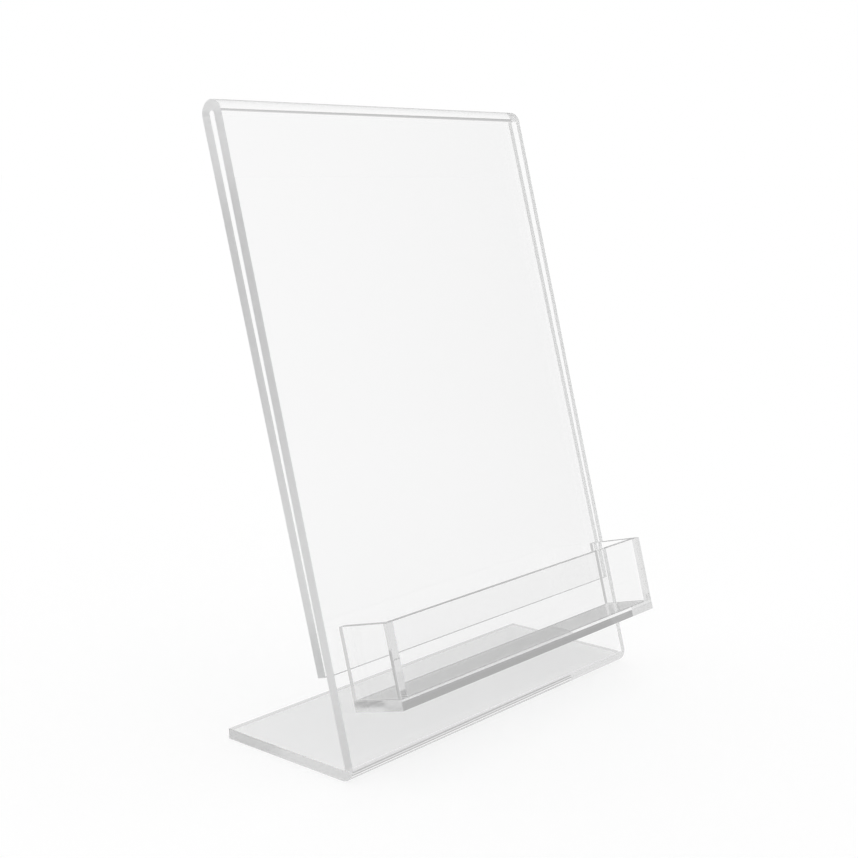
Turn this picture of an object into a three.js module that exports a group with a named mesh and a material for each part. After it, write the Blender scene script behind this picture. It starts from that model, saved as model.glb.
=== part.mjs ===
// Counter-top sign holder with a card pocket, in clear acrylic sheet.
// One strip of sheet is heat-bent into the base, the leaning front panel, the U-bend at the top
// and the shorter rear panel. Four flat plates cemented to the front panel make the card pocket.
// Millimetres. +X is the width, to the right as seen from the front, +Y runs back, +Z is up.
// The origin is the centre of the whole object's outline on the table.
import * as THREE from 'three';

// Driving dimensions of the bent sheet
const SHEET_WIDTH = 107;
const SHEET_THICKNESS = 2.5;
const LEAN_DEGREES = 15;
const BASE_DEPTH = 41.6;
const INSERT_HEIGHT = 148;
const BASE_BEND_OUTER_RADIUS = 3.3;
const BASE_BEND_INNER_RADIUS = 0.4;
const SLOT_TOP_GAP = 1.5;
const SLOT_LIP_GAP = 0.3;
const REAR_PANEL_LIP_HEIGHT = 24.2;

// Driving dimensions of the card pocket, along the front panel and square to it
const POCKET_INNER_WIDTH = 94.7;
const POCKET_INNER_DEPTH = 12.7;
const POCKET_WALL_HEIGHT = 16.7;
const POCKET_UNDERSIDE_HEIGHT = 15.25;
const POCKET_FLOOR_THICKNESS = 2.5;
const POCKET_WALL_THICKNESS = 2;

// Clearances
const INSERT_CLEARANCE = 0.1;
const CEMENT_GAP = 0.3;

// Straight steps in each rounded bend
const BEND_SEGMENTS = 20;

const lean = THREE.MathUtils.degToRad(LEAN_DEGREES);
const QUARTER_TURN = Math.PI / 2;

// A point of the side view, from its distance up the panel's slope and its distance behind the
// panel's front face. The front face's plane meets the table at 0, 0.
function onPanel(up, behind) {
  return new THREE.Vector2(
    up * Math.sin(lean) + behind * Math.cos(lean),
    up * Math.cos(lean) - behind * Math.sin(lean),
  );
}

// A point that lies as far above the table as behind the panel's front face
function atFoot(distance) {
  return new THREE.Vector2(distance * (1 + Math.sin(lean)) / Math.cos(lean), distance);
}

// The bend at the foot of the panel stretches the outside, so the sheet is a little thinner there.
const baseBendOutside = atFoot(BASE_BEND_OUTER_RADIUS);
const baseBendInside = atFoot(SHEET_THICKNESS + BASE_BEND_INNER_RADIUS);

// The insert stands on the base's top face, where its front edge meets the panel's rear face,
// and reaches up to the inside of the U-bend.
const topBendInnerRadius = SLOT_TOP_GAP / 2;
const topBendOuterRadius = topBendInnerRadius + SHEET_THICKNESS;
const insertFoot = atFoot(SHEET_THICKNESS).x;
const topBendHeight = insertFoot + INSERT_HEIGHT + INSERT_CLEARANCE - topBendInnerRadius;
const topBendCentre = onPanel(topBendHeight, topBendOuterRadius);

function sheetOutline() {
  const outline = new THREE.Shape();
  const panelAngle = Math.PI - lean;
  outline.moveTo(BASE_DEPTH, 0);
  outline.lineTo(baseBendOutside.x, 0);
  outline.absarc(
    baseBendOutside.x, baseBendOutside.y, BASE_BEND_OUTER_RADIUS,
    -QUARTER_TURN, panelAngle, true,
  );
  outline.absarc(topBendCentre.x, topBendCentre.y, topBendOuterRadius, panelAngle, -lean, true);
  const lipRear = onPanel(REAR_PANEL_LIP_HEIGHT, 2 * SHEET_THICKNESS + SLOT_LIP_GAP);
  const lipFront = onPanel(REAR_PANEL_LIP_HEIGHT, SHEET_THICKNESS + SLOT_LIP_GAP);
  outline.lineTo(lipRear.x, lipRear.y);
  outline.lineTo(lipFront.x, lipFront.y);
  outline.absarc(topBendCentre.x, topBendCentre.y, topBendInnerRadius, -lean, panelAngle, false);
  outline.absarc(
    baseBendInside.x, baseBendInside.y, BASE_BEND_INNER_RADIUS,
    panelAngle, -QUARTER_TURN, false,
  );
  outline.lineTo(BASE_DEPTH, SHEET_THICKNESS);
  outline.closePath();
  return outline;
}

// Clear acrylic, very slightly grey, with polished faces
function clearAcrylic(tone) {
  return new THREE.MeshStandardMaterial({
    color: tone,
    roughness: 0.05,
    metalness: 0,
    transparent: true,
    opacity: 0.35,
  });
}

// The bent strip, extruded across its width from its side view
function holderSheet() {
  const geometry = new THREE.ExtrudeGeometry(sheetOutline(), {
    depth: SHEET_WIDTH,
    bevelEnabled: false,
    curveSegments: BEND_SEGMENTS,
  });
  const sheet = new THREE.Mesh(geometry, clearAcrylic('#eef1f2'));
  sheet.name = 'holder_sheet';
  sheet.rotation.set(QUARTER_TURN, QUARTER_TURN, 0);
  sheet.position.x = -SHEET_WIDTH / 2;
  return sheet;
}

// A flat plate of the pocket, from its extents across the width, out from the panel's front face
// and up the panel's slope
function pocketPlate(name, across, out, up) {
  const geometry = new THREE.BoxGeometry(across[1] - across[0], out[1] - out[0], up[1] - up[0]);
  const plate = new THREE.Mesh(geometry, clearAcrylic('#e9edef'));
  plate.name = name;
  plate.position.set(
    (across[0] + across[1]) / 2,
    -(out[0] + out[1]) / 2,
    (up[0] + up[1]) / 2,
  );
  return plate;
}

// The pocket leans with the panel. Its floor and side walls are cemented to the panel's front
// face. The side walls stand on the ends of the floor, and the front wall stands on the floor's
// front edge, between the side walls.
function cardPocket() {
  const inner = POCKET_INNER_WIDTH / 2;
  const outer = inner + POCKET_WALL_THICKNESS;
  const front = POCKET_INNER_DEPTH + POCKET_WALL_THICKNESS;
  const floorTop = POCKET_UNDERSIDE_HEIGHT + POCKET_FLOOR_THICKNESS;
  const fullDepth = [CEMENT_GAP, front];
  const aboveFloor = [floorTop + CEMENT_GAP, floorTop + POCKET_WALL_HEIGHT];
  const betweenWalls = [-inner + CEMENT_GAP, inner - CEMENT_GAP];

  const pocket = new THREE.Group();
  pocket.rotation.x = -lean;
  pocket.add(
    pocketPlate('pocket_floor', [-outer, outer], fullDepth, [POCKET_UNDERSIDE_HEIGHT, floorTop]),
    pocketPlate('pocket_left_wall', [-outer, -inner], fullDepth, aboveFloor),
    pocketPlate('pocket_right_wall', [inner, outer], fullDepth, aboveFloor),
    pocketPlate('pocket_front_wall', betweenWalls, [POCKET_INNER_DEPTH, front], aboveFloor),
  );
  return pocket;
}

const signHolder = new THREE.Group();
signHolder.add(holderSheet(), cardPocket());

// The origin moves from the front face's foot to the middle of the object's depth.
const extent = new THREE.Box3().setFromObject(signHolder);
signHolder.position.y = -(extent.min.y + extent.max.y) / 2;

export default signHolder;
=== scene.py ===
"""A clear acrylic sign holder with a card pocket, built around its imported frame.

The holder is one strip of cast acrylic, bent on a line heater, with a card pocket of four
cemented plates on its front. Lengths are metres, in the frame's own axes: +X to the right,
+Y to the back, +Z up.
"""
import math

import bmesh
import bpy
from bpy.props import FloatProperty, FloatVectorProperty, IntProperty, PointerProperty
from mathutils import Matrix, Vector


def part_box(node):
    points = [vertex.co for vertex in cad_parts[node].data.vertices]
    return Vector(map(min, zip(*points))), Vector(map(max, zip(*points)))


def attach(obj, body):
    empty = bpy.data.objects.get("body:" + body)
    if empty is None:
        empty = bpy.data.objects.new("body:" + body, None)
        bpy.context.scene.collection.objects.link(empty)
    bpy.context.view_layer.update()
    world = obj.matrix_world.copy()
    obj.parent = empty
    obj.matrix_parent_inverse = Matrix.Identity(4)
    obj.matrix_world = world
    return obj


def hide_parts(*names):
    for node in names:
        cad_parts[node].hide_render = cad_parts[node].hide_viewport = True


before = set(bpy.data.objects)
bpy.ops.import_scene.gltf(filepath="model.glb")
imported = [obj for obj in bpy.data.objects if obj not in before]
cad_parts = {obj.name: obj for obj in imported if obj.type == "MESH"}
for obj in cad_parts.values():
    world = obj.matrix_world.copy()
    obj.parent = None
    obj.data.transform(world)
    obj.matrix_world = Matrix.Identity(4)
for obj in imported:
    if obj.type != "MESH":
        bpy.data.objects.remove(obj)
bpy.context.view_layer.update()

bl_info = {
    "name": "Acrylic sign holder",
    "version": (1, 0, 0),
    "blender": (4, 5, 0),
    "location": "3D View > Sidebar > Sign holder",
    "description": "Builds a clear acrylic sign holder with a card pocket, and a stage for it",
    "category": "Object",
}

MM = 0.001
QUARTER_TURN = math.pi / 2
BODY = "root"

# Folds above this angle stay sharp in the shading. A bend's own steps are finer.
FOLD_ANGLE = math.radians(15)

# A wide face counts fully in the shading, so that it stays flat next to a bend.
FLAT_FACE_WEIGHT = 100

# Cut corners are sharper than this, and polishing rounds them in so many steps.
CUT_CORNER_ANGLE = math.radians(60)
CORNER_STEPS = 2

# The bends here have finer steps than the frame's, which would reach this far past its box.
FINER_BEND_ROOM = 0.005 * MM

# The two rounded corners of the U-bend share one short run and leave this much of it.
U_BEND_ROOM = 0.001 * MM

# How squarely a face has to point along an axis to belong to a cut, to be a whole side of the
# strip, or to be a cast face of a plate, and how near to a cut's place it has to lie.
TOWARDS_CUT = 0.3
WHOLE_SIDE = 0.99
CAST_FACE = 0.95
NEAR_CUT = 0.3 * MM

# Two points of a split closer than this would be one.
SAME_POINT = 1e-9


def linear(hex_colour):
    """An sRGB hex colour as linear red, green, blue and alpha."""
    channels = [int(hex_colour[i : i + 2], 16) / 255 for i in (1, 3, 5)]
    return [c / 12.92 if c <= 0.04045 else ((c + 0.055) / 1.055) ** 2.4 for c in channels] + [1.0]


def add(tree, kind, values=None, links=None, **settings):
    """Adds a node with its settings, the values of its inputs, and links into its inputs."""
    node = tree.nodes.new(kind)
    for name, setting in settings.items():
        setattr(node, name, setting)
    for name, value in (values or {}).items():
        node.inputs[name].default_value = value
    for name, socket in (links or {}).items():
        tree.links.new(socket, node.inputs[name])
    return node


def length(name, description, millimetres):
    """A property for a length, given in millimetres and kept in metres."""
    return FloatProperty(
        name=name, description=description, default=millimetres * MM,
        min=0.0, precision=5, subtype="DISTANCE", unit="LENGTH",
    )


class HolderSheetSettings(bpy.types.PropertyGroup):
    """Sizes of the bent strip."""

    lean: FloatProperty(
        name="Lean", description="How far the front panel leans back from upright",
        default=math.radians(15), subtype="ANGLE", unit="ROTATION",
    )
    thickness: length("Thickness", "Thickness of the cast sheet", 2.5)
    foot_radius: length("Foot bend radius", "Outer radius of the bend between base and panel", 3.3)
    foot_inner_radius: length("Foot inner radius", "Inner radius of the same bend", 0.4)
    slot_top: length("Slot at the top", "Gap between the two panels at the U-bend", 1.5)
    slot_lip: length("Slot at the lip", "Gap between the panels at the rear one's lower edge", 0.3)
    lip_height: length("Lip height", "Distance up the slope to the rear panel's lower edge", 24.2)
    bend_steps: IntProperty(
        name="Bend steps", description="Straight steps in each quarter turn of a bend",
        default=24, min=4,
    )
    edge_radius: length("Polished corner", "Radius that polishing leaves on every cut corner", 0.06)


class CardPocketSettings(bpy.types.PropertyGroup):
    """Sizes of the pocket's plates that the frame doesn't give."""

    seam: length("Cement seam", "Thickness of the cement between two plates", 0.01)
    edge_radius: length("Polished corner", "Radius that polishing leaves on every cut corner", 0.05)


class AcrylicSettings(bpy.types.PropertyGroup):
    """The optical finish of the clear cast acrylic."""

    ior: FloatProperty(name="IOR", description="Refractive index of acrylic", default=1.49, min=1.0)
    absorption: FloatProperty(
        name="Absorption", description="Light that a metre of the sheet takes away, as a density",
        default=0.7, min=0.0,
    )
    panel_edge_roughness: FloatProperty(
        name="Panel edge roughness",
        description="Roughness of the panels' machined cut edges",
        default=0.4, min=0.0, max=1.0, subtype="FACTOR",
    )
    base_edge_roughness: FloatProperty(
        name="Base edge roughness",
        description="Roughness of the base's polished cut edges",
        default=0.12, min=0.0, max=1.0, subtype="FACTOR",
    )
    plate_edge_roughness: FloatProperty(
        name="Plate edge roughness",
        description="Roughness of the pocket plates' polished cut edges",
        default=0.05, min=0.0, max=1.0, subtype="FACTOR",
    )
    shade: FloatVectorProperty(
        name="Shade",
        description="Share of the light that one face of the sheet lets through to the table",
        size=4, default=linear("#f2f3f3"), min=0.0, max=1.0, subtype="COLOR",
    )


class StudioSettings(bpy.types.PropertyGroup):
    """Tones of the white studio, and where the camera stands."""

    backdrop: FloatProperty(
        name="Backdrop", description="Brightness of the white background", default=1.0, min=0.0
    )
    surround: FloatProperty(
        name="Surround", description="Brightness, in reflections, of the studio at table height",
        default=0.54, min=0.0,
    )
    side_light: FloatProperty(
        name="Side light", description="How much brighter than that the studio is to the left",
        default=0.2, min=0.0,
    )
    top_light: FloatProperty(
        name="Top light", description="How much brighter than that the studio is overhead",
        default=0.33, min=0.0,
    )
    front_light: FloatProperty(
        name="Front light", description="How much brighter than that the studio is in front",
        default=0.27, min=0.0,
    )
    table_tone: FloatProperty(
        name="Table tone", description="Brightness, in reflections, of the table",
        default=0.785, min=0.0,
    )
    table_light: FloatProperty(
        name="Table light",
        description="Share of the table's brightness that a shadow can take away",
        default=0.33, min=0.0, max=1.0, subtype="FACTOR",
    )
    table_radius: length("Table radius", "How far out reflections show the table", 500)
    focal_length: FloatProperty(
        name="Focal length", description="Focal length of the camera in millimetres",
        default=61.2, min=1.0,
    )
    camera_yaw: FloatProperty(
        name="Camera yaw", description="Heading of the view, from +X towards +Y",
        default=math.radians(40.877), subtype="ANGLE", unit="ROTATION",
    )
    camera_pitch: FloatProperty(
        name="Camera pitch", description="How far the camera looks down",
        default=math.radians(10.074), subtype="ANGLE", unit="ROTATION",
    )


def settings():
    """The sign holder's settings, which are kept with the scene."""
    return bpy.context.scene.sign_holder


def foot_line(sheet):
    """Where the front face's plane meets the table, worked out from the frame's lowest y."""
    bend_centre = sheet.foot_radius * (1 + math.sin(sheet.lean)) / math.cos(sheet.lean)
    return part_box("holder_sheet")[0].y - (bend_centre - sheet.foot_radius)


def panel_matrix(sheet):
    """From the panel's own axes (across, behind its front face, up its slope) to the frame's."""
    s, c = math.sin(sheet.lean), math.cos(sheet.lean)
    return Matrix((
        (1, 0, 0, 0),
        (0, c, s, foot_line(sheet)),
        (0, -s, c, 0),
        (0, 0, 0, 1),
    ))


def panel_box(sheet, node):
    """Lowest and highest corner of a node of the frame, along the panel's own axes."""
    to_panel = panel_matrix(sheet).inverted()
    points = [to_panel @ v.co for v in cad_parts[node].data.vertices]
    low, high = (Vector(pick(p[i] for p in points) for i in range(3)) for pick in (min, max))
    return low, high


def finish_mesh(mesh):
    """Shades a mesh of flat faces and bends, so that flat faces stay flat next to a bend."""
    mesh.shade_smooth()
    mesh.set_sharp_from_angle(angle=FOLD_ANGLE)
    helper = bpy.data.objects.new("helper", mesh)
    bpy.context.scene.collection.objects.link(helper)
    weighted = helper.modifiers.new("weighted", "WEIGHTED_NORMAL")
    weighted.mode = "FACE_AREA"
    weighted.weight = FLAT_FACE_WEIGHT
    weighted.keep_sharp = True
    finished = evaluated_mesh(helper)
    bpy.data.objects.remove(helper)
    return finished


def evaluated_mesh(thing):
    """The mesh of an object after its modifiers."""
    graph = bpy.context.evaluated_depsgraph_get()
    return bpy.data.meshes.new_from_object(thing.evaluated_get(graph), depsgraph=graph)


def mark_cut_edges(mesh, roughness):
    """Gives every face the attribute face_roughness, which is 0 on the sheet's own cast faces."""
    attribute = mesh.attributes.new("face_roughness", "FLOAT", "FACE")
    attribute.data.foreach_set("value", [roughness(face) for face in mesh.polygons])


def place_piece(name, mesh, node):
    """Makes the finished acrylic piece that stands for a node of the frame."""
    mesh.name = name
    mesh.materials.clear()
    mesh.materials.append(clear_acrylic())
    piece = bpy.data.objects.new(name, mesh)
    bpy.context.scene.collection.objects.link(piece)
    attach(piece, BODY)
    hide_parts(node)


def polish_corners(thing, radius):
    """Rounds the cut corners of an object by a modifier."""
    bevel = thing.modifiers.new("polished_corners", "BEVEL")
    bevel.width = radius
    bevel.segments = CORNER_STEPS
    bevel.limit_method = "ANGLE"
    bevel.angle_limit = CUT_CORNER_ANGLE


def clear_acrylic():
    """Clear cast acrylic (PMMA): it bends light less than glass does and takes almost none of it,
    so a panel is nearly invisible, while a cut edge gathers light through the whole sheet and
    looks grey. Its faces are as cast, glossy. The panels' cut edges are machined to a satin that
    evens out that grey, and the edges of the base and of the pocket's plates are polished, so
    they are paler and show more of the inside."""
    acrylic = settings().acrylic
    material = bpy.data.materials.get("clear_cast_acrylic")
    if material:
        return material
    material = bpy.data.materials.new("clear_cast_acrylic")
    material.use_nodes = True
    tree = material.node_tree
    tree.nodes.clear()
    roughness = add(tree, "ShaderNodeAttribute", attribute_name="face_roughness")
    glass = add(
        tree, "ShaderNodeBsdfGlass",
        values={"IOR": acrylic.ior},
        links={"Roughness": roughness.outputs["Fac"]},
    )
    shade = add(tree, "ShaderNodeBsdfTransparent", values={"Color": acrylic.shade})
    path = add(tree, "ShaderNodeLightPath")
    surface = add(
        tree, "ShaderNodeMixShader",
        links={"Fac": path.outputs["Is Shadow Ray"], 1: glass.outputs[0], 2: shade.outputs[0]},
    )
    volume = add(
        tree, "ShaderNodeVolumeAbsorption",
        values={"Color": (0, 0, 0, 1), "Density": acrylic.absorption},
    )
    add(
        tree, "ShaderNodeOutputMaterial",
        links={"Surface": surface.outputs[0], "Volume": volume.outputs[0]},
    )
    return material


def bent_strip_tree():
    """Geometry nodes that round the corners of a strip's side outline, each with its own radius,
    and sweep the outline across the strip's width."""
    tree = bpy.data.node_groups.new("bent_strip", "GeometryNodeTree")
    interface = tree.interface
    interface.new_socket("Geometry", in_out="INPUT", socket_type="NodeSocketGeometry")
    interface.new_socket("Width", in_out="INPUT", socket_type="NodeSocketFloat")
    interface.new_socket("Bend steps", in_out="INPUT", socket_type="NodeSocketInt")
    interface.new_socket("Material", in_out="INPUT", socket_type="NodeSocketMaterial")
    interface.new_socket("Geometry", in_out="OUTPUT", socket_type="NodeSocketGeometry")
    given = add(tree, "NodeGroupInput").outputs
    outline = add(tree, "GeometryNodeMeshToCurve", links={"Mesh": given["Geometry"]})
    radius = add(
        tree, "GeometryNodeInputNamedAttribute", data_type="FLOAT",
        values={"Name": "bend_radius"},
    )
    bends = add(
        tree, "GeometryNodeFilletCurve", mode="POLY",
        links={
            "Curve": outline.outputs["Curve"],
            "Count": given["Bend steps"],
            "Radius": radius.outputs["Attribute"],
        },
    )
    left = add(
        tree, "ShaderNodeMath", operation="MULTIPLY",
        values={1: -0.5}, links={0: given["Width"]},
    )
    start = add(tree, "ShaderNodeCombineXYZ", links={"X": left.outputs[0]})
    across = add(
        tree, "GeometryNodeCurvePrimitiveLine", mode="DIRECTION",
        values={"Direction": (1, 0, 0)},
        links={"Start": start.outputs[0], "Length": given["Width"]},
    )
    strip = add(
        tree, "GeometryNodeCurveToMesh",
        values={"Fill Caps": True},
        links={"Curve": across.outputs["Curve"], "Profile Curve": bends.outputs["Curve"]},
    )
    real = add(tree, "GeometryNodeRealizeInstances", links={"Geometry": strip.outputs["Mesh"]})
    painted = add(
        tree, "GeometryNodeSetMaterial",
        links={"Geometry": real.outputs["Geometry"], "Material": given["Material"]},
    )
    add(tree, "NodeGroupOutput", links={"Geometry": painted.outputs["Geometry"]})
    return tree


def add_strip(thing, values):
    """Puts the strip's geometry nodes on an object, with the values of their named inputs."""
    tree = bent_strip_tree()
    modifier = thing.modifiers.new("bent_strip", "NODES")
    modifier.node_group = tree
    for item in tree.interface.items_tree:
        if item.in_out == "INPUT" and item.name in values:
            modifier[item.identifier] = values[item.name]


def bend_line(sheet):
    """The line in the middle of the strip's thickness, as corners with an outer and an inner bend
    radius: from the base's rear edge forward, up the front panel, over the top and down the rear
    panel. The U-bend is a quarter turn and a corner that is nearly one, and the two meet."""
    to_frame = panel_matrix(sheet)
    half = sheet.thickness / 2
    foot_height = half * (1 + math.sin(sheet.lean)) / math.cos(sheet.lean)
    top_height = panel_box(sheet, "holder_sheet")[1].z - FINER_BEND_ROOM - half
    top_spacing = sheet.thickness + sheet.slot_top
    lip_middle = half + sheet.thickness + sheet.slot_lip
    base_rear = Vector((0, foot_line(sheet) + base_depth(sheet), half))
    foot = to_frame @ Vector((0, half, foot_height))
    top_front = to_frame @ Vector((0, half, top_height))
    top_rear = to_frame @ Vector((0, half + top_spacing, top_height))
    rear_lip = to_frame @ Vector((0, lip_middle, sheet.lip_height))
    rear_turn = (top_rear - top_front).angle(rear_lip - top_rear)
    share = math.tan(QUARTER_TURN / 2) + math.tan(rear_turn / 2)
    top_radius = top_spacing / share - U_BEND_ROOM
    return [
        (base_rear, 0.0, 0.0),
        (foot, sheet.foot_radius, sheet.foot_inner_radius),
        (top_front, top_radius + half, top_radius - half),
        (top_rear, top_radius + half, top_radius - half),
        (rear_lip, 0.0, 0.0),
    ]


def beside(points, distance):
    """The corners of the line that runs a distance away, towards the outside of the bends."""
    runs = [(after - before).normalized() for before, after in zip(points, points[1:])]
    corners = []
    for i, point in enumerate(points):
        outsides = [Vector((0, -run.z, run.y)) for run in runs[max(i - 1, 0) : i + 1]]
        mitre = sum(outsides, Vector()) / len(outsides)
        corners.append(point + mitre * distance / mitre.length_squared)
    return corners


def side_outline(sheet):
    """A mesh with the strip's side outline, in the axes of a sweep along the width: the sweep
    turns the mesh's x and y to the frame's -y and -z."""
    line = bend_line(sheet)
    middle = [point for point, _, _ in line]
    half = sheet.thickness / 2
    corners = beside(middle, half) + beside(middle, -half)[::-1]
    radii = [outer for _, outer, _ in line] + [inner for _, _, inner in line][::-1]
    count = len(corners)
    points = [(-corner.y, -corner.z, 0) for corner in corners]
    edges = [(i, (i + 1) % count) for i in range(count)]
    mesh = bpy.data.meshes.new("side_outline")
    mesh.from_pydata(points, edges, [])
    mesh.attributes.new("bend_radius", "FLOAT", "POINT").data.foreach_set("value", radii)
    return mesh


def base_depth(sheet):
    """How far the base reaches behind the foot line, from the frame's points at table height."""
    points = [v.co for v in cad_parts["holder_sheet"].data.vertices]
    return max(p.y for p in points if p.z < sheet.thickness / 2) - foot_line(sheet)


class SIGNHOLDER_OT_holder_sheet(bpy.types.Operator):
    """Build the strip that is base, front panel, U-bend and rear panel in one piece"""

    bl_idname = "sign_holder.holder_sheet"
    bl_label = "Bent sheet"

    def execute(self, context):
        sheet = settings().sheet
        low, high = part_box("holder_sheet")
        maker = bpy.data.objects.new("strip_maker", side_outline(sheet))
        context.scene.collection.objects.link(maker)
        add_strip(maker, {
            "Width": high.x - low.x,
            "Bend steps": sheet.bend_steps,
            "Material": clear_acrylic(),
        })
        polish_corners(maker, sheet.edge_radius)
        mesh = evaluated_mesh(maker)
        bpy.data.objects.remove(maker)
        base_top = sheet.thickness + sheet.foot_inner_radius / 2
        mesh = finish_mesh(outward(split_sides(mesh, base_top)))
        mark_cut_edges(mesh, self.finish(sheet, base_top))
        place_piece("bent_acrylic_strip", mesh, "holder_sheet")
        return {"FINISHED"}

    def finish(self, sheet, base_top):
        """A function from a face to its roughness: the panels' finish on their cut sides and on
        the rear panel's lower edge, the base's on its cut sides and rear edge, and 0 elsewhere."""
        acrylic = settings().acrylic
        base_rear = foot_line(sheet) + base_depth(sheet)
        to_panel = panel_matrix(sheet).inverted()
        turn = to_panel.to_3x3()

        def roughness(face):
            at_side = abs(face.normal.x) > TOWARDS_CUT
            from_rear = base_rear - face.center.y
            at_rear = from_rear < NEAR_CUT and face.normal.y > TOWARDS_CUT
            from_lip = abs((to_panel @ face.center).z - sheet.lip_height)
            at_lip = from_lip < NEAR_CUT and (turn @ face.normal).z < -TOWARDS_CUT
            if face.center.z < base_top:
                return acrylic.base_edge_roughness if at_side or at_rear else 0.0
            return acrylic.panel_edge_roughness if at_side or at_lip else 0.0

        return roughness


def split_sides(mesh, height):
    """Cuts the strip's two side faces along a level line, so that the base's part of them can
    have a finish of its own."""
    shape = bmesh.new()
    shape.from_mesh(mesh)
    sides = [face for face in shape.faces if abs(face.normal.x) > WHOLE_SIDE]
    edges = [edge for face in sides for edge in face.edges]
    corners = [vert for face in sides for vert in face.verts]
    bmesh.ops.bisect_plane(
        shape, geom=corners + edges + sides, dist=SAME_POINT,
        plane_co=(0, 0, height), plane_no=(0, 0, 1),
    )
    shape.to_mesh(mesh)
    shape.free()
    return mesh


def outward(mesh):
    """Turns every face of a closed mesh outward."""
    shape = bmesh.new()
    shape.from_mesh(mesh)
    bmesh.ops.recalc_face_normals(shape, faces=shape.faces)
    shape.to_mesh(mesh)
    shape.free()
    return mesh


def plate_mesh(corner_low, corner_high, matrix, radius):
    """A flat plate with polished corners, from its corners along the panel's own axes."""
    mesh = bpy.data.meshes.new("plate")
    shape = bmesh.new()
    bmesh.ops.create_cube(shape, size=1.0)
    size = corner_high - corner_low
    middle = (corner_high + corner_low) / 2
    bmesh.ops.transform(
        shape, verts=shape.verts,
        matrix=matrix @ Matrix.Translation(middle) @ Matrix.Diagonal((*size, 1)),
    )
    shape.to_mesh(mesh)
    shape.free()
    maker = bpy.data.objects.new("plate_maker", mesh)
    bpy.context.scene.collection.objects.link(maker)
    polish_corners(maker, radius)
    bevelled = evaluated_mesh(maker)
    bpy.data.objects.remove(maker)
    finished = finish_mesh(outward(bevelled))
    thin = min(range(3), key=lambda i: size[i])
    through = (matrix.to_3x3() @ Vector([float(i == thin) for i in range(3)])).normalized()
    polished = settings().acrylic.plate_edge_roughness
    mark_cut_edges(
        finished, lambda face: 0.0 if abs(face.normal.dot(through)) >= CAST_FACE else polished
    )
    return finished


class SIGNHOLDER_OT_card_pocket(bpy.types.Operator):
    """Build the four cemented plates of the card pocket"""

    bl_idname = "sign_holder.card_pocket"
    bl_label = "Card pocket"

    def execute(self, context):
        sheet, pocket = settings().sheet, settings().pocket
        matrix = panel_matrix(sheet)
        boxes = {
            name: panel_box(sheet, "pocket_" + name)
            for name in ("floor", "left_wall", "right_wall", "front_wall")
        }
        floor_top = boxes["floor"][1].z
        inner_left, inner_right = boxes["left_wall"][1].x, boxes["right_wall"][0].x
        for name, (low, high) in boxes.items():
            if name != "floor":
                low.z = floor_top + pocket.seam
            if name == "front_wall":
                low.x, high.x = inner_left + pocket.seam, inner_right - pocket.seam
            else:
                high.y = -pocket.seam
            mesh = plate_mesh(low, high, matrix, pocket.edge_radius)
            place_piece("acrylic_" + name, mesh, "pocket_" + name)
        return {"FINISHED"}


# The camera's place, from where the front face's plane meets the table at mid-width
CAMERA_FROM_FOOT = Vector((-269.94, -208.36, 132.54)) * MM

# The camera's sensor in millimetres, as its focal length is
SENSOR_WIDTH = 36.0
NEAREST_SEEN = 10 * MM

# The table is wide enough to reach the horizon, and lies just clear of the object's underside.
TABLE_HALF_SIZE = 20.0
TABLE_DROP = 0.05 * MM

# Share of the table's radius from which reflections let it fade into the studio
TABLE_FADE_START = 0.6

# Light meets the faces of the clear sheet many times before it leaves by a cut edge.
LONGEST_LIGHT_PATH = 96

# Lies between no reflection and one
FIRST_REFLECTION = 0.5


def never_reflected(tree):
    """A socket that is 1 on light paths without a mirror-like reflection, and 0 on the others."""
    path = add(tree, "ShaderNodeLightPath")
    return add(
        tree, "ShaderNodeMath", operation="LESS_THAN",
        values={1: FIRST_REFLECTION}, links={0: path.outputs["Glossy Depth"]},
    ).outputs[0]


def studio_world(studio):
    """A white backdrop for what is seen straight or through the acrylic, and a grey studio, with
    soft light from the left, the front and above, for what is seen in a reflection."""
    world = bpy.data.worlds.new("white_studio")
    world.use_nodes = True
    tree = world.node_tree
    tree.nodes.clear()
    direction = add(tree, "ShaderNodeTexCoord")
    axes = add(tree, "ShaderNodeSeparateXYZ", links={0: direction.outputs["Generated"]})
    slope = add(tree, "ShaderNodeMath", operation="ABSOLUTE", links={0: axes.outputs["Z"]})
    front = add(
        tree, "ShaderNodeMath", operation="MULTIPLY", use_clamp=True,
        values={1: -studio.front_light}, links={0: axes.outputs["Y"]},
    )
    level = add(
        tree, "ShaderNodeMath", operation="ADD",
        values={1: studio.surround}, links={0: front.outputs[0]},
    )
    above = add(
        tree, "ShaderNodeMath", operation="MULTIPLY_ADD",
        values={1: studio.top_light}, links={0: slope.outputs[0], 2: level.outputs[0]},
    )
    tone = add(
        tree, "ShaderNodeMath", operation="MULTIPLY_ADD",
        values={1: -studio.side_light}, links={0: axes.outputs["X"], 2: above.outputs[0]},
    )
    brightness = add(
        tree, "ShaderNodeMix", data_type="FLOAT",
        values={"B": studio.backdrop},
        links={"Factor": never_reflected(tree), "A": tone.outputs[0]},
    )
    glow = add(
        tree, "ShaderNodeBackground", values={"Color": linear("#ffffff")},
        links={"Strength": brightness.outputs["Result"]},
    )
    add(tree, "ShaderNodeOutputWorld", links={"Surface": glow.outputs[0]})
    bpy.context.scene.world = world


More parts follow.
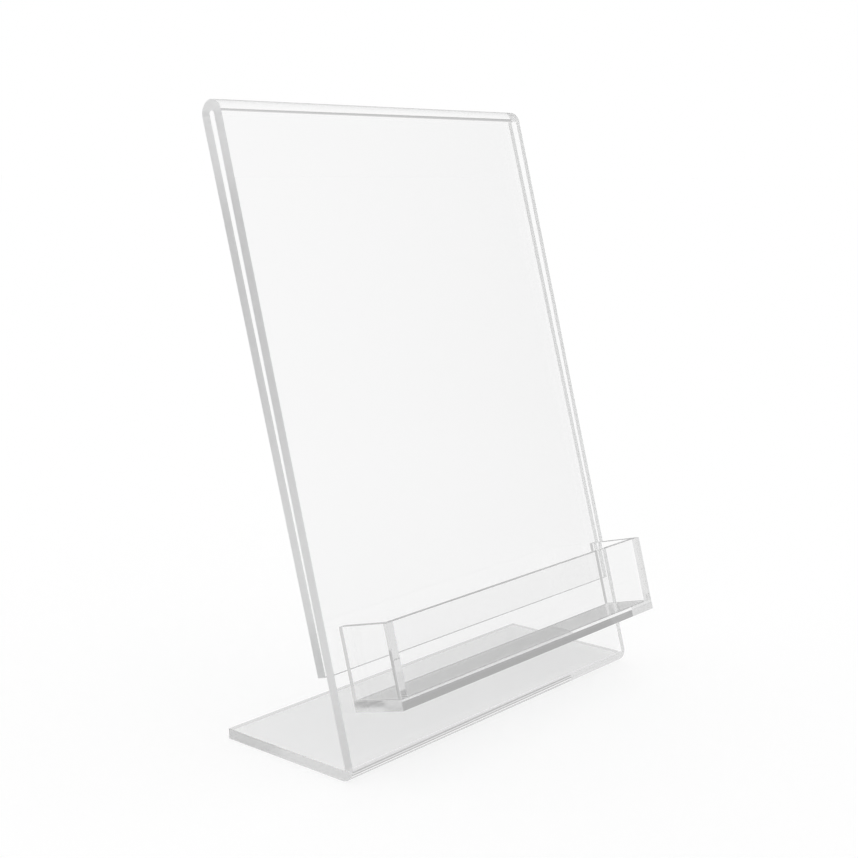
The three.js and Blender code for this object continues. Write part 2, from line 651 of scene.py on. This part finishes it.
def table_material(studio):
    """A plain white table that keeps the object's soft shadow. Reflections show it a little
    greyer, and only near the object, with the studio beyond."""
    material = bpy.data.materials.new("white_table")
    material.use_nodes = True
    tree = material.node_tree
    tree.nodes.clear()
    lit = studio.table_light
    matt = add(tree, "ShaderNodeBsdfDiffuse", values={"Color": (lit, lit, lit, 1)})
    glow = add(
        tree, "ShaderNodeEmission",
        values={"Color": linear("#ffffff"), "Strength": studio.backdrop - lit},
    )
    white = add(tree, "ShaderNodeAddShader", links={0: matt.outputs[0], 1: glow.outputs[0]})
    grey = add(
        tree, "ShaderNodeEmission",
        values={"Color": linear("#ffffff"), "Strength": studio.table_tone},
    )
    straight = never_reflected(tree)
    table = add(
        tree, "ShaderNodeMixShader",
        links={"Fac": straight, 1: grey.outputs[0], 2: white.outputs[0]},
    )
    place = add(tree, "ShaderNodeNewGeometry")
    distance = add(
        tree, "ShaderNodeVectorMath", operation="LENGTH",
        links={0: place.outputs["Position"]},
    )
    end = studio.table_radius
    near = add(
        tree, "ShaderNodeMapRange", interpolation_type="SMOOTHSTEP",
        values={"From Min": end, "From Max": end * TABLE_FADE_START},
        links={"Value": distance.outputs["Value"]},
    )
    shown = add(
        tree, "ShaderNodeMath", operation="MAXIMUM",
        links={0: straight, 1: near.outputs[0]},
    )
    open_air = add(tree, "ShaderNodeBsdfTransparent")
    surface = add(
        tree, "ShaderNodeMixShader",
        links={"Fac": shown.outputs[0], 1: open_air.outputs[0], 2: table.outputs[0]},
    )
    add(tree, "ShaderNodeOutputMaterial", links={"Surface": surface.outputs[0]})
    return material


class SIGNHOLDER_OT_stage(bpy.types.Operator):
    """Build the table, the studio light and the camera"""

    bl_idname = "sign_holder.stage"
    bl_label = "Stage"

    def execute(self, context):
        studio = settings().studio
        studio_world(studio)
        half = TABLE_HALF_SIZE
        mesh = bpy.data.meshes.new("table")
        corners = [(-half, -half), (half, -half), (half, half), (-half, half)]
        mesh.from_pydata([(x, y, -TABLE_DROP) for x, y in corners], [], [(0, 1, 2, 3)])
        mesh.materials.append(table_material(studio))
        table = bpy.data.objects.new("table", mesh)
        context.scene.collection.objects.link(table)

        lens = bpy.data.cameras.new("camera")
        lens.sensor_width = SENSOR_WIDTH
        lens.lens = studio.focal_length
        lens.clip_start = NEAREST_SEEN
        camera = bpy.data.objects.new("camera", lens)
        context.scene.collection.objects.link(camera)
        yaw, pitch = studio.camera_yaw, studio.camera_pitch
        level = math.cos(pitch)
        ahead = Vector((level * math.cos(yaw), level * math.sin(yaw), -math.sin(pitch)))
        camera.location = CAMERA_FROM_FOOT + Vector((0, foot_line(settings().sheet), 0))
        camera.rotation_euler = ahead.to_track_quat("-Z", "Y").to_euler()
        context.scene.camera = camera

        context.scene.view_settings.view_transform = "Standard"
        cycles = context.scene.cycles
        cycles.max_bounces = LONGEST_LIGHT_PATH
        cycles.glossy_bounces = LONGEST_LIGHT_PATH
        cycles.transmission_bounces = LONGEST_LIGHT_PATH
        cycles.transparent_max_bounces = LONGEST_LIGHT_PATH
        return {"FINISHED"}


class SignHolderSettings(bpy.types.PropertyGroup):
    """All sizes and tones that can be set."""

    sheet: PointerProperty(type=HolderSheetSettings)
    pocket: PointerProperty(type=CardPocketSettings)
    acrylic: PointerProperty(type=AcrylicSettings)
    studio: PointerProperty(type=StudioSettings)


class SIGNHOLDER_PT_sidebar(bpy.types.Panel):
    """The sign holder's sizes and its build buttons"""

    bl_idname = "SIGNHOLDER_PT_sidebar"
    bl_label = "Sign holder"
    bl_space_type = "VIEW_3D"
    bl_region_type = "UI"
    bl_category = "Sign holder"

    def draw(self, context):
        for group in ("sheet", "pocket", "acrylic", "studio"):
            box = self.layout.box()
            values = getattr(context.scene.sign_holder, group)
            for name in values.__annotations__:
                box.prop(values, name)
        for operator in BUILD_ORDER:
            self.layout.operator(operator.bl_idname)


BUILD_ORDER = (SIGNHOLDER_OT_holder_sheet, SIGNHOLDER_OT_card_pocket, SIGNHOLDER_OT_stage)
CLASSES = (
    HolderSheetSettings, CardPocketSettings, AcrylicSettings, StudioSettings, SignHolderSettings,
    *BUILD_ORDER, SIGNHOLDER_PT_sidebar,
)


def register():
    """Registers the settings, the operators and the panel."""
    for cls in CLASSES:
        bpy.utils.register_class(cls)
    bpy.types.Scene.sign_holder = PointerProperty(type=SignHolderSettings)


def unregister():
    """Takes the settings, the panel and the operators out again."""
    del bpy.types.Scene.sign_holder
    for cls in reversed(CLASSES):
        bpy.utils.unregister_class(cls)


def main():
    """Builds everything in order."""
    register()
    bpy.ops.sign_holder.holder_sheet()
    bpy.ops.sign_holder.card_pocket()
    bpy.ops.sign_holder.stage()


if __name__ == "__main__":
    main()
